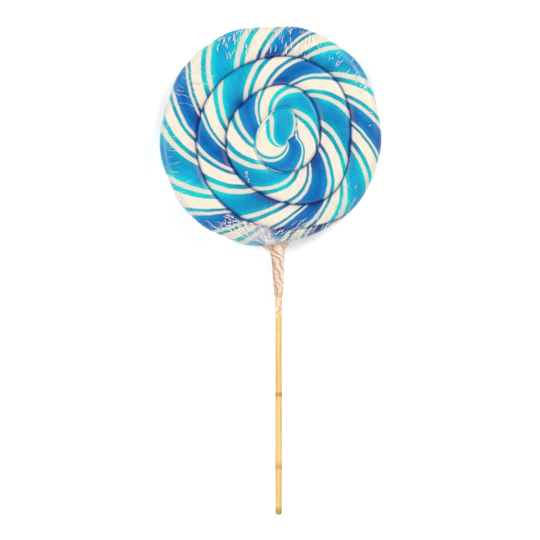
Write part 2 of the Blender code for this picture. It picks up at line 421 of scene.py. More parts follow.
def set_stripe_map(obj, twist, across):
    """The piece's own map: u is the twist and v the way across the rope."""
    layer = obj.data.uv_layers.get("Stripes") or obj.data.uv_layers.new(name="Stripes")
    corner = np.empty(len(obj.data.loops), dtype=np.int32)
    obj.data.loops.foreach_get("vertex_index", corner)
    vectors = np.stack((twist[corner], across[corner]), axis=1).astype(np.float32)
    layer.uv.foreach_set("vector", vectors.ravel())


def build_rope_face(name, settings, side):
    """One face of the coil, from a long grid whose rows are laid along the spiral."""
    steps = round(settings.turn_steps * ROPE_END / FULL_TURN)
    wide = settings.across_steps
    face = add_primitive(
        bpy.ops.mesh.primitive_grid_add, name, x_subdivisions=steps, y_subdivisions=wide, size=1.0,
        calc_uvs=False,
    )
    flat = points_of(face) * MM + 0.5
    degrees = np.rint(flat[:, 0] * steps) * FULL_TURN / settings.turn_steps
    even = np.rint(flat[:, 1] * wide) / wide
    # The rows lie closer together near the seams.
    share = 0.4 * even + 0.6 * (0.5 - 0.5 * np.cos(math.pi * even))

    inner = seam_points(degrees - FULL_TURN)
    outer = seam_points(degrees)
    inner[degrees <= FULL_TURN] = EYE
    place = inner + (outer - inner) * share[:, None]
    width = np.linalg.norm(outer - inner, axis=1)
    twist = twist_at(degrees, np.round(share, 5) if side > 0 else np.round(2.0 + RIM_SHARE - share, 5))

    depth = settings.groove_depth / MM
    slope_in = np.minimum(settings.inner_shoulder / MM, np.maximum(0.6 * width, 0.1))
    slope_out = np.minimum(settings.outer_shoulder / MM, np.maximum(0.4 * width, 0.1))
    to_rim = rim_radius(np.degrees(np.arctan2(place[:, 1], place[:, 0]))) - np.linalg.norm(place, axis=1)
    drop_in = sloped_drop(share * width, slope_in, seam_depth(degrees - FULL_TURN, depth))
    drop_out = sloped_drop((1.0 - share) * width, slope_out, seam_depth(degrees, depth))
    drop_rim = rounded_drop(to_rim, RIM_ROUND_IN, RIM_ROUND_DOWN)
    wave = np.cos(4.0 * math.pi * twist)             # two swells for each twist of the rope
    swell = settings.swell / MM * (wave - 1.0) / 2.0 * 4.0 * share * (1.0 - share)
    swell *= smooth_step(to_rim / RIM_ROUND_IN)
    bulge = settings.rim_swell / MM * wave * smooth_step(1.0 - to_rim / RIM_ROUND_IN)
    bulge *= share * smooth_step((degrees - SEAM_END) / SEAM_FADE)
    bulge *= smooth_step((ROPE_END - degrees) / SEAM_FADE)
    place = place * (1.0 + bulge / np.maximum(np.linalg.norm(place, axis=1), 1.0))[:, None]
    height = HALF - np.maximum(np.maximum(drop_in, drop_out), drop_rim) + swell

    move_points(face, np.stack((place[:, 0], place[:, 1], side * height), axis=1))
    set_stripe_map(face, twist, share if side > 0 else 2.0 + RIM_SHARE - share)
    # The seam distance drives the painted shade of the seam. The outer turn dips under the inner one, so that
    # shade reaches less far on the inner turn.
    seam_in = np.where(degrees > FULL_TURN, share * width, SEAM_FAR)
    seam_out = np.where((degrees > 0.0) & (degrees < SEAM_END), (1.0 - share) * width, SEAM_FAR)
    store(face, "seam_distance", np.minimum(seam_in, seam_out * 3.0))
    merge_points(face)
    return face


def bridge_rim(candy):
    """Joins the two faces of the coil with the rim's wall, and carries the stripes over it."""
    select_only(candy)
    bpy.ops.object.mode_set(mode="EDIT")
    bpy.ops.mesh.select_mode(type="EDGE")
    bpy.ops.mesh.select_all(action="DESELECT")
    bpy.ops.mesh.select_non_manifold(
        extend=False, use_wire=False, use_boundary=True, use_multi_face=False, use_non_contiguous=False,
        use_verts=False,
    )
    bpy.ops.mesh.bridge_edge_loops(number_cuts=5, interpolation="LINEAR")
    bpy.ops.mesh.select_all(action="SELECT")
    bpy.ops.mesh.normals_make_consistent(inside=False)
    bpy.ops.object.mode_set(mode="OBJECT")

    wall = HALF - RIM_ROUND_DOWN
    mesh = candy.data
    points = points_of(candy)
    layer = mesh.uv_layers["Stripes"].uv
    seam = mesh.attributes["seam_distance"].data
    degrees, across, corners = [], [], []
    for face in mesh.polygons:
        if abs(face.center.z / MM) >= wall:
            continue
        middle = math.degrees(math.atan2(face.center.y, face.center.x))
        middle += FULL_TURN * math.ceil((SEAM_END - middle) / FULL_TURN)
        for corner in face.loop_indices:
            x, y, z = points[mesh.loops[corner].vertex_index]
            offset = math.degrees(math.atan2(y, x)) - middle
            degrees.append(middle + offset - FULL_TURN * round(offset / FULL_TURN))
            across.append(1.0 + RIM_SHARE * (wall - z) / (2.0 * wall))
            corners.append(corner)
            seam[mesh.loops[corner].vertex_index].value = SEAM_FAR
    twist = twist_at(np.array(degrees), np.round(across, 2))
    for corner, turned, way in zip(corners, twist, across):
        layer[corner].vector = (turned, way)


def pulled_sugar(settings):
    """Boiled sugar, pulled to a satin white or coloured, twisted and pressed: a hard smooth gloss, colour that
    deepens inside each stripe, painted shade in and beside the seams, and faint streaks along the pull."""
    material, tree, shader = new_material("pulled_boiled_sugar")
    # The alpha says whether the sugar is white (0) or coloured (1).
    colours = {name: (*getattr(settings, name)[:3], 0.0) for name in ("cream", "thin_white")}
    for name in ("cyan", "cyan_edge", "cyan_line", "dark_line", "blue", "blue_edge"):
        colours[name] = (*getattr(settings, name)[:3], 1.0)
    stripe_map = add_node(tree, "ShaderNodeUVMap", {"uv_map": "Stripes"})
    parts = add_node(tree, "ShaderNodeSeparateXYZ", inputs={0: stripe_map.outputs[0]})
    place = add_node(tree, "ShaderNodeTexCoord")

    # Hand-pulled stripes waver by about 0.4 mm over 8 mm, with a finer raggedness every 1.5 mm.
    waver = add_node(tree, "ShaderNodeTexNoise", inputs={
        "Vector": place.outputs["Object"], "Scale": 1000.0 / 8.0, "Detail": 1.0})
    ragged = add_node(tree, "ShaderNodeTexNoise", inputs={
        "Vector": place.outputs["Object"], "Scale": 1000.0 / 1.5, "Detail": 1.0})
    shift = add_node(tree, "ShaderNodeMath", {"operation": "MULTIPLY_ADD"}, {
        0: waver.outputs["Fac"], 1: 0.022, 2: parts.outputs[0]})
    shifted = add_node(tree, "ShaderNodeMath", {"operation": "MULTIPLY_ADD"}, {
        0: ragged.outputs["Fac"], 1: 0.008, 2: shift.outputs[0]})
    centred = add_node(tree, "ShaderNodeMath", {"operation": "SUBTRACT"}, {0: shifted.outputs[0], 1: 0.015})
    turn = add_node(tree, "ShaderNodeMath", {"operation": "FRACT"}, {0: centred.outputs[0]})
    bands = add_node(tree, "ShaderNodeValToRGB", inputs={"Fac": turn.outputs[0]})
    set_ramp(bands, stripe_stops(colours))

    # The coloured sugar was unevenly mixed: its tone drifts over about 20 mm. The ramp's alpha marks it.
    drift = add_node(tree, "ShaderNodeTexNoise", inputs={
        "Vector": place.outputs["Object"], "Scale": 1000.0 / 20.0, "Detail": 1.0})
    deeper = add_node(tree, "ShaderNodeMapRange", inputs={
        "Value": drift.outputs["Fac"], "From Min": 0.42, "From Max": 0.62, "To Min": 0.0, "To Max": 0.85})
    deep = add_node(tree, "ShaderNodeMath", {"operation": "MULTIPLY"}, {
        0: deeper.outputs[0], 1: bands.outputs["Alpha"]})
    drifted = add_node(tree, "ShaderNodeMix", {"data_type": "RGBA", "blend_type": "MULTIPLY"}, {
        "Factor": deep.outputs[0], 6: bands.outputs["Color"], 7: linear("FFC4E4")})

    # Streaks across the rope, about 0.7 mm apart at the rim, where the twisting stretched it.
    from_centre = add_node(tree, "ShaderNodeVectorMath", {"operation": "SUBTRACT"}, {
        0: place.outputs["Object"], 1: (HEAD_X * MM, HEAD_Y * MM, 0.0)})
    flat = add_node(tree, "ShaderNodeVectorMath", {"operation": "MULTIPLY"}, {
        0: from_centre.outputs[0], 1: (1.0, 1.0, 0.0)})
    bearing = add_node(tree, "ShaderNodeVectorMath", {"operation": "NORMALIZE"}, {0: flat.outputs[0]})
    fan = add_node(tree, "ShaderNodeVectorMath", {"operation": "SCALE"}, {
        0: bearing.outputs[0], "Scale": DISC_RADIUS / 0.7})
    fan_place = add_node(tree, "ShaderNodeVectorMath", {"operation": "MULTIPLY_ADD"}, {
        0: flat.outputs[0], 1: (1000.0 / 9.0, 1000.0 / 9.0, 0.0), 2: fan.outputs[0]})
    streak = add_node(tree, "ShaderNodeTexNoise", inputs={
        "Vector": fan_place.outputs[0], "Scale": 1.0, "Detail": 2.0})
    streak_tone = add_node(tree, "ShaderNodeMapRange", inputs={
        "Value": streak.outputs["Fac"], "From Min": 0.25, "From Max": 0.75, "To Min": 0.74, "To Max": 1.16})
    how_much = add_node(tree, "ShaderNodeMapRange", inputs={
        "Value": bands.outputs["Alpha"], "To Min": 0.15, "To Max": 1.0})
    streaked = add_node(tree, "ShaderNodeMix", {"data_type": "RGBA", "blend_type": "MULTIPLY"}, {
        "Factor": how_much.outputs[0], 6: drifted.outputs[2], 7: streak_tone.outputs[0]})

    # Painted shade: little light comes back from the sugar within about 3 mm of a seam, so its colour is
    # darkened there, more in some places than in others.
    seam = add_node(tree, "ShaderNodeAttribute", {"attribute_name": "seam_distance"})
    near = add_node(tree, "ShaderNodeMapRange", {"interpolation_type": "SMOOTHERSTEP"}, {
        "Value": seam.outputs["Fac"], "From Min": -0.2, "From Max": 1.5, "To Min": 1.0, "To Max": 0.0})
    wide = add_node(tree, "ShaderNodeMapRange", {"interpolation_type": "SMOOTHERSTEP"}, {
        "Value": seam.outputs["Fac"], "From Min": 0.0, "From Max": 6.0, "To Min": 1.0, "To Max": 0.0})
    patchy = add_node(tree, "ShaderNodeMapRange", inputs={
        "Value": drift.outputs["Fac"], "From Min": 0.35, "From Max": 0.62, "To Min": 0.15, "To Max": 1.0})
    wide_seam_shade = add_node(tree, "ShaderNodeMath", {"operation": "MULTIPLY"}, {
        0: wide.outputs[0], 1: patchy.outputs[0]})
    seam_shade_on_colour = add_node(tree, "ShaderNodeMath", {"operation": "MULTIPLY"}, {
        0: wide_seam_shade.outputs[0], 1: how_much.outputs[0]})
    shaded = add_node(tree, "ShaderNodeMix", {"data_type": "RGBA", "blend_type": "MULTIPLY"}, {
        "Factor": near.outputs[0], 6: streaked.outputs[2], 7: tuple(settings.seam)})
    # Painted shade: a wider, patchy darkening out to about 6 mm from a seam, mostly on the coloured stripes.
    shaded = add_node(tree, "ShaderNodeMix", {"data_type": "RGBA", "blend_type": "MULTIPLY"}, {
        "Factor": seam_shade_on_colour.outputs[0], 6: shaded.outputs[2], 7: linear("C08CC4")})
    tree.links.new(shaded.outputs[2], shader.inputs["Base Color"])

    gloss = add_node(tree, "ShaderNodeMapRange", inputs={
        "Value": waver.outputs["Fac"], "From Min": 0.3, "From Max": 0.7, "To Min": 0.30, "To Max": 0.46})
    tree.links.new(gloss.outputs[0], shader.inputs["Roughness"])
    bump = add_node(tree, "ShaderNodeBump", inputs={
        "Strength": 0.35, "Distance": 0.06 * MM, "Height": waver.outputs["Fac"]})
    tree.links.new(bump.outputs[0], shader.inputs["Normal"])
    shader.inputs["IOR"].default_value = 1.5
    shader.inputs["Specular IOR Level"].default_value = 0.35
    shader.inputs["Subsurface Weight"].default_value = 0.05
    shader.inputs["Subsurface Scale"].default_value = 1.0 * MM
    shader.inputs["Subsurface Radius"].default_value = (1.0, 1.0, 1.0)
    return material


def stripe_stops(colours):
    """Ramp stops for the stripes, each edge a little soft; the wide colours are lighter at their edges."""
    soft = 0.0045
    stops = []
    start = 0.0
    for name, share in STRIPES:
        end = start + share
        edge = colours.get(name + "_edge", colours[name])
        if name == "blue" and start == 0.0:
            stops += [(start, colours["blue"]), (end - soft, edge)]
        elif name == "blue":
            stops += [(start + soft, edge), (1.0, colours["blue"])]
        elif name == "cyan":
            stops += [(start + soft, edge), (start + share * 0.3, colours["cyan"]),
                      (end - share * 0.3, colours["cyan"]), (end - soft, edge)]
        else:
            stops += [(start + soft, edge), (end - soft, edge)]
        start = end
    return stops


class LOLLIPOP_OT_candy(bpy.types.Operator):
    """Build the coiled sugar rope: two faces laid along the spiral, joined round the rim"""

    bl_idname = "lollipop.candy"
    bl_label = "Candy Swirl"

    def execute(self, context):
        settings = context.scene.lollipop_candy
        candy = build_rope_face("candy_coil", settings, 1.0)
        back = build_rope_face("candy_coil_back", settings, -1.0)
        select_only(candy, back)
        bpy.ops.object.join()
        bridge_rim(candy)
        move_points(candy, press_by_hand(points_of(candy) + (HEAD_X, HEAD_Y, MID_Z)))
        smooth_by_angle(candy, 60.0)
        finish_piece(candy, pulled_sugar(settings), "candy_swirl")
        return {"FINISHED"}


# ---------------------------------------------------------------- the stick


def bamboo(settings):
    """Split bamboo turned round and left bare: pale, with fibres a few tenths of a millimetre wide along it,
    darker lines at the nodes, and a greyed end."""
    material, tree, shader = new_material("bare_turned_bamboo")
    place = add_node(tree, "ShaderNodeTexCoord")
    fibres = add_node(tree, "ShaderNodeMapping", inputs={
        "Vector": place.outputs["Object"], "Scale": (1000.0 / 0.5, 1000.0 / 30.0, 1000.0 / 0.5)})
    grain = add_node(tree, "ShaderNodeTexNoise", inputs={
        "Vector": fibres.outputs[0], "Scale": 1.0, "Detail": 3.0})
    tone = add_node(tree, "ShaderNodeValToRGB", inputs={"Fac": grain.outputs["Fac"]})
    set_ramp(tone, [(0.3, tuple(settings.dark)), (0.62, tuple(settings.light))])
    ring = add_node(tree, "ShaderNodeAttribute", {"attribute_name": "node_ring"})
    ringed = add_node(tree, "ShaderNodeMix", {"data_type": "RGBA", "blend_type": "MULTIPLY"}, {
        "Factor": ring.outputs["Fac"], 6: tone.outputs["Color"], 7: linear("E2B06E")})
    tip = add_node(tree, "ShaderNodeAttribute", {"attribute_name": "tip"})
    ended = add_node(tree, "ShaderNodeMix", {"data_type": "RGBA"}, {
        "Factor": tip.outputs["Fac"], 6: ringed.outputs[2], 7: tuple(settings.tip)})
    tree.links.new(ended.outputs[2], shader.inputs["Base Color"])
    bump = add_node(tree, "ShaderNodeBump", inputs={
        "Strength": 0.4, "Distance": 0.04 * MM, "Height": grain.outputs["Fac"]})
    tree.links.new(bump.outputs[0], shader.inputs["Normal"])
    rough = add_node(tree, "ShaderNodeMapRange", inputs={
        "Value": grain.outputs["Fac"], "To Min": 0.42, "To Max": 0.6})
    tree.links.new(rough.outputs[0], shader.inputs["Roughness"])
    shader.inputs["IOR"].default_value = 1.5
    return material


class LOLLIPOP_OT_stick(bpy.types.Operator):
    """Build the bamboo stick, with its nodes and rounded tip"""

    bl_idname = "lollipop.stick"
    bl_label = "Bamboo Stick"

    def execute(self, context):
        settings = context.scene.lollipop_stick
        low, high = STICK_LOW[1], STICK_HIGH[1]
        stick = add_primitive(
            bpy.ops.mesh.primitive_cylinder_add, "bamboo_stick", vertices=40, radius=STICK_RADIUS * MM,
            depth=(high - low) * MM, end_fill_type="NGON",
            location=(STICK_X * MM, (low + high) / 2.0 * MM, MID_Z * MM), rotation=(math.pi / 2.0, 0.0, 0.0),
        )
        apply_place(stick)
        bpy.ops.object.mode_set(mode="EDIT")
        bpy.ops.mesh.select_mode(type="EDGE")
        bpy.ops.mesh.select_all(action="SELECT")
        bpy.ops.mesh.bevel(offset=STICK_END_ROUND * MM, segments=5, affect="EDGES")
        bpy.ops.object.mode_set(mode="OBJECT")
        cut_long_edges(stick, 1, 20.0 * MM, 200)

        points = points_of(stick)
        y = points[:, 1]
        ring = np.zeros(len(y))
        for node_y in BAMBOO_NODES:
            ring += np.exp(-((y - node_y) / 0.8) ** 2)
        wander = 1.0 + settings.node_swell / MM / STICK_RADIUS * (ring - 1.0)
        wander -= 0.012 * (1.0 + np.sin(y * 0.21))
        points[:, 0] = STICK_X + (points[:, 0] - STICK_X) * wander
        points[:, 2] = MID_Z + (points[:, 2] - MID_Z) * wander
        move_points(stick, points)
        store(stick, "node_ring", np.clip(ring, 0.0, 1.0))
        store(stick, "tip", 0.75 * smooth_step((low + 4.5 - y) / 2.5))
        smooth_by_angle(stick, 50.0)
        finish_piece(stick, bamboo(settings), "stick")
        return {"FINISHED"}


# ---------------------------------------------------------------- the film


# The gathered film round the stick. Each row: Y, centre in X, half width, half height.
NECK_SECTIONS = (
    (16.0, 0.2, 10.4, 4.9),
    (14.0, 0.6, 9.2, 4.8),
    (12.0, 1.4, 7.4, 4.4),
    (10.2, 2.6, 5.0, 3.9),
    (8.2, 3.7, 3.4, 3.3),
    (4.0, 3.9, 3.0, 3.0),
    (-1.2, 4.0, 2.7, 2.8),
    (-6.0, 4.1, 2.4, 2.5),
    (-12.5, 4.1, 2.1, 2.2),
)
NECK_TWIST = 13.0        # degrees for each millimetre along the stick
TAPE_TWIST = 11.0        # the same for the tape's creases
NECK_POINT = np.array((4.6, 5.0))   # the folds over the candy run towards here

# Fans of folds over the foot of the head: middle and half spread in degrees about NECK_POINT, how many.
FOLD_FANS = ((46.0, 24.0, 26), (134.0, 22.0, 14), (100.0, 60.0, 4))

# Where the stretched film has creased; each crease is a low ridge painted white as its highlight. Each row:
# from and to in degrees round the head, from and to in millimetres from its centre, the creases' direction and
# how much it varies in degrees, shortest and longest in millimetres, width in millimetres, how many.
CREASE_ZONES = (
    (60, 90, 38.5, 50.0, 82, 9, 2.0, 4.6, 0.46, 34),
    (100, 123, 40.0, 50.0, 80, 24, 1.4, 3.8, 0.50, 34),
    (72, 118, 49.0, 51.8, 62, 30, 1.0, 3.0, 0.46, 40),
    (24, 54, 45.0, 51.5, 52, 20, 1.2, 3.4, 0.42, 20),
    (0, 22, 46.0, 51.5, 20, 24, 1.0, 2.6, 0.34, 8),
    (136, 160, 38.0, 51.0, 158, 12, 3.0, 9.0, 0.24, 20),
    (160, 215, 43.0, 51.5, 188, 14, 2.0, 6.0, 0.18, 26),
    (241, 258, 42.0, 48.5, 148, 34, 1.2, 3.2, 0.50, 60),
    (232, 262, 47.5, 51.0, 156, 12, 3.0, 8.0, 0.30, 12),
    (298, 330, 42.0, 51.5, 62, 26, 1.5, 4.5, 0.30, 34),
    (274, 296, 43.0, 50.5, 40, 16, 2.0, 6.0, 0.40, 36),
)


# Bubbles under the film: place from the head's centre, radius, and how much longer they are than wide.
BUBBLES = ((-10.9, -17.9, 0.62, 1.15), (-10.9, -19.6, 0.34, 1.0), (-10.0, -21.3, 0.30, 2.6))


def head_height(x, y, lift):
    """How far above the head's middle plane a skin with this gap lies. x and y are from the head's centre."""
    to_rim = rim_radius(np.degrees(np.arctan2(y, x))) + lift - np.hypot(x, y)
    return HALF + lift - rounded_drop(to_rim, RIM_ROUND_IN + lift, RIM_ROUND_DOWN + lift)


def clear_film(settings):
    """Stretched clear polypropylene: almost nothing is seen where it lies flat, and more where it is stretched
    over the rim, pleated or creased, where its whiteness is partly painted reflection and painted highlight,
    which the piece's own haze says point by point."""
    material, tree, shader = new_material("stretched_clear_polypropylene")
    haze = add_node(tree, "ShaderNodeAttribute", {"attribute_name": "haze"})
    place = add_node(tree, "ShaderNodeTexCoord")
    # Faint streaks of stretch, about 2 mm apart.
    streak = add_node(tree, "ShaderNodeTexNoise", inputs={
        "Vector": place.outputs["Object"], "Scale": 1000.0 / 2.0, "Detail": 3.0, "Roughness": 0.6})
    patchy = add_node(tree, "ShaderNodeMapRange", inputs={
        "Value": streak.outputs["Fac"], "From Min": 0.3, "From Max": 0.7, "To Min": 0.6, "To Max": 1.3})
    alpha = add_node(tree, "ShaderNodeMath", {"operation": "MULTIPLY", "use_clamp": True}, {
        0: haze.outputs["Fac"], 1: patchy.outputs[0]})
    tree.links.new(alpha.outputs[0], shader.inputs["Alpha"])
    tint = add_node(tree, "ShaderNodeMix", {"data_type": "RGBA"}, {
        "Factor": streak.outputs["Fac"], 6: tuple(settings.film), 7: linear("EBE0E4")})
    tree.links.new(tint.outputs[2], shader.inputs["Base Color"])
    shader.inputs["Roughness"].default_value = 0.12
    shader.inputs["IOR"].default_value = 1.49
    return material


def gathered_film(settings):
    """Many layers of the same film drawn together and twisted: milky, with a painted highlight in cream on the
    crests of the folds, and painted shade in rose brown in the pits, where the stick also shows through."""
    material, tree, shader = new_material("gathered_twisted_polypropylene")
    fold = add_node(tree, "ShaderNodeAttribute", {"attribute_name": "fold"})
    haze = add_node(tree, "ShaderNodeAttribute", {"attribute_name": "haze"})
    place = add_node(tree, "ShaderNodeTexCoord")
    # Crumples about 0.9 mm across break up the folds.
    crumple = add_node(tree, "ShaderNodeTexNoise", inputs={
        "Vector": place.outputs["Object"], "Scale": 1000.0 / 0.9, "Detail": 2.0})
    broken = add_node(tree, "ShaderNodeMath", {"operation": "MULTIPLY_ADD"}, {
        0: crumple.outputs["Fac"], 1: 0.55, 2: fold.outputs["Fac"]})
    level = add_node(tree, "ShaderNodeMath", {"operation": "SUBTRACT"}, {0: broken.outputs[0], 1: 0.275})
    tone = add_node(tree, "ShaderNodeValToRGB", inputs={"Fac": level.outputs[0]})
    # Painted light: the pits take a painted shade and the crests a painted highlight.
    set_ramp(tone, [(0.10, tuple(settings.pit_shade)), (0.34, linear("DEB09A")), (0.54, linear("F2D4BA")),
                    (0.76, tuple(settings.highlighted_crest))])
    # Where the film bunches under the rim, the stick's colour is drawn up into it.
    bunched = add_node(tree, "ShaderNodeAttribute", {"attribute_name": "bunched"})
    ambered = add_node(tree, "ShaderNodeMix", {"data_type": "RGBA"}, {
        "Factor": bunched.outputs["Fac"], 6: tone.outputs["Color"], 7: linear("E6B866")})
    tree.links.new(ambered.outputs[2], shader.inputs["Base Color"])
    tree.links.new(haze.outputs["Fac"], shader.inputs["Alpha"])
    bump = add_node(tree, "ShaderNodeBump", inputs={
        "Strength": 0.6, "Distance": 0.12 * MM, "Height": crumple.outputs["Fac"]})
    tree.links.new(bump.outputs[0], shader.inputs["Normal"])
    shader.inputs["Roughness"].default_value = 0.25
    shader.inputs["IOR"].default_value = 1.49
    return material


def build_skin(settings):
    """The film over the head, shaped from a sphere whose rings are laid along the head's profile."""
    lift = settings.lift / MM
    # One side's profile: 25 rings over the flat face, then a quarter round over the rim.
    arc = np.linspace(0.0, math.pi / 2.0, 13)
    flat_inset = np.linspace(DISC_RADIUS, RIM_ROUND_IN, 26)[:-1]
    round_inset = (RIM_ROUND_IN + lift) * (1.0 - np.sin(arc))
    round_height = HALF + lift - (RIM_ROUND_DOWN + lift) * (1.0 - np.cos(arc))
    inset = np.concatenate((flat_inset, round_inset))
    height = np.concatenate((np.full(len(flat_inset), HALF + lift), round_height))
    # The other side mirrors it.
    inset = np.concatenate((inset, [0.0], inset[::-1]))
    height = np.concatenate((height, [0.0], -height[::-1]))
    rings = len(inset) - 1
    skin = add_primitive(
        bpy.ops.mesh.primitive_uv_sphere_add, "film_skin", segments=540, ring_count=rings, radius=1.0,
        calc_uvs=False,
    )
    ball = points_of(skin) * MM
    ring = np.rint(np.arccos(np.clip(ball[:, 2], -1.0, 1.0)) / math.pi * rings).astype(int)
    angle = np.arctan2(ball[:, 1], ball[:, 0])
    pole = (ring == 0) | (ring == rings)
    degrees = np.degrees(angle)
    # Pleats where the film is drawn round the rim.
    fine_pleat = np.sin(angle * 97.0 + 2.0 * np.sin(angle * 5.0))
    broad_pleat = np.sin(angle * 61.0 + 3.0 * np.sin(angle * 3.0))
    pleat = fine_pleat + 0.7 * broad_pleat
    near_rim = np.exp(-(inset[ring] / 5.0) ** 2)
    out = 0.10 * pleat * near_rim
    radius = np.where(pole, 0.0, rim_radius(degrees) + lift - inset[ring] + out)
    radius = np.where(inset[ring] >= DISC_RADIUS, 0.0, radius)
    z = height[ring] + 0.03 * pleat * near_rim * np.sign(height[ring])
    placed = np.stack((HEAD_X + radius * np.cos(angle), HEAD_Y + radius * np.sin(angle), MID_Z + z), axis=1)
    move_points(skin, press_by_hand(placed))
    # Painted reflection and highlight: the film is made whiter towards the rim and on its pleats, where light
    # would glance off it.
    haze = settings.clear + 0.03 * near_rim ** 2 * (1.0 + 0.5 * pleat)
    store(skin, "haze", np.clip(haze, 0.0, 1.0))
    merge_points(skin)
    smooth_by_angle(skin, 70.0)
    return finish_piece(skin, clear_film(settings), "film_wrap")


def build_creases(settings):
    """Sharp creases in the stretched film, painted white as highlights: one slender spindle, repeated by an
    array and laid out by zone.
    """
    rng = np.random.default_rng(7)
    spindle = add_primitive(
        bpy.ops.mesh.primitive_cylinder_add, "film_crease_highlights", vertices=6, radius=0.5, depth=1.0,
        end_fill_type="NGON", calc_uvs=False,
    )
    cut_long_edges(spindle, 2, 0.5, 9)
    one = points_of(spindle) * MM
    total = sum(zone[-1] for zone in CREASE_ZONES)
    array = spindle.modifiers.new("Repeat", "ARRAY")
    array.count = total
    array.use_relative_offset = False
    array.use_constant_offset = True
    array.constant_offset_displace = (2.0, 0.0, 0.0)
    select_only(spindle)
    bpy.ops.object.modifier_apply(modifier=array.name)

    t = one[:, 2]                                    # -0.5 to 0.5 along the crease
    taper = np.sqrt(np.clip(1.0 - (2.0 * t) ** 2, 0.02, 1.0))
    placed, haze = [], []
    for low, high, near, far, lean, vary, short, long, width, count in CREASE_ZONES:
        for _ in range(count):
            degrees = math.radians(rng.uniform(low, high))
            radius = rng.uniform(near, far)
            way = math.radians(lean + rng.uniform(-vary, vary))
            length = rng.uniform(short, long)
            broad = width * rng.uniform(0.6, 1.35)
            bend = rng.uniform(-0.09, 0.09) * length
            kink_size = rng.uniform(0.005, 0.03) * length
            kink = kink_size * np.sin(rng.uniform(6.0, 11.0) * t + rng.uniform(0.0, 6.0))
            along = t * length
            side = one[:, 0] * broad * taper * (1.0 - 0.7 * (t + 0.5)) + bend * (1.0 - 4.0 * t * t) + kink
            x = radius * math.cos(degrees) + along * math.cos(way) - side * math.sin(way)
            y = radius * math.sin(degrees) + along * math.sin(way) + side * math.cos(way)
            limit = (rim_radius(np.degrees(np.arctan2(y, x))) + settings.lift / MM) / np.hypot(x, y)
            x = x * np.minimum(limit, 1.0)
            y = y * np.minimum(limit, 1.0)
            z = head_height(x, y, settings.lift / MM) + 0.05 + one[:, 1] * 0.6 * broad * taper
            placed.append(np.stack((HEAD_X + x, HEAD_Y + y, MID_Z + z), axis=1))
            # Painted highlight: each crease is nearly opaque white.
            haze.append(np.full(len(t), rng.uniform(0.7, 1.0)))
    move_points(spindle, press_by_hand(np.concatenate(placed)))
    store(spindle, "haze", np.concatenate(haze))
    smooth_by_angle(spindle, 80.0)
    return finish_piece(spindle, crease_highlight_film(settings), None)


def build_bubbles(settings):
    """Two small bubbles of air trapped under the film, left of the eye, a round one and a drawn-out one, shown
    as rings painted white as highlights.
    """
    lift = settings.lift / MM
    bubbles = []
    for x, y, radius, stretch in BUBBLES:
        bubble = add_primitive(
            bpy.ops.mesh.primitive_torus_add, "film_bubbles", major_segments=32, minor_segments=10,
            major_radius=radius * MM, minor_radius=0.3 * radius * MM, generate_uvs=False,
        )
        bubble.scale = (0.8, stretch, 0.5)
        apply_place(bubble)
        place = points_of(bubble)
        place += (HEAD_X + x, HEAD_Y + y, MID_Z)
        place[:, 2] += head_height(place[:, 0] - HEAD_X, place[:, 1] - HEAD_Y, lift)
        move_points(bubble, place)
        # Painted highlight: the half of each ring towards +Y is brighter.
        store(bubble, "haze", np.where(place[:, 1] > HEAD_Y + y, 0.95, 0.5))
        bubbles.append(bubble)
    select_only(*bubbles)
    bpy.ops.object.join()
    smooth_by_angle(bubbles[0], 80.0)
    return finish_piece(bubbles[0], crease_highlight_film(settings), None)


def crease_highlight_film(settings):
    """A painted highlight for a sharp fold in clear film: a bright white line, the same whichever way it is
    seen.
    """
    material, tree, shader = new_material("painted_crease_highlight_polypropylene")
    haze = add_node(tree, "ShaderNodeAttribute", {"attribute_name": "haze"})
    place = add_node(tree, "ShaderNodeTexCoord")
    fleck = add_node(tree, "ShaderNodeTexNoise", inputs={
        "Vector": place.outputs["Object"], "Scale": 1000.0 / 1.2, "Detail": 2.0})
    tone = add_node(tree, "ShaderNodeMix", {"data_type": "RGBA"}, {
        "Factor": fleck.outputs["Fac"], 6: linear("FFFFFF"), 7: linear("FFF6EC")})
    tree.links.new(tone.outputs[2], shader.inputs["Base Color"])
    tree.links.new(haze.outputs["Fac"], shader.inputs["Alpha"])
    shader.inputs["Roughness"].default_value = 0.15
    shader.inputs["IOR"].default_value = 1.49
    return material


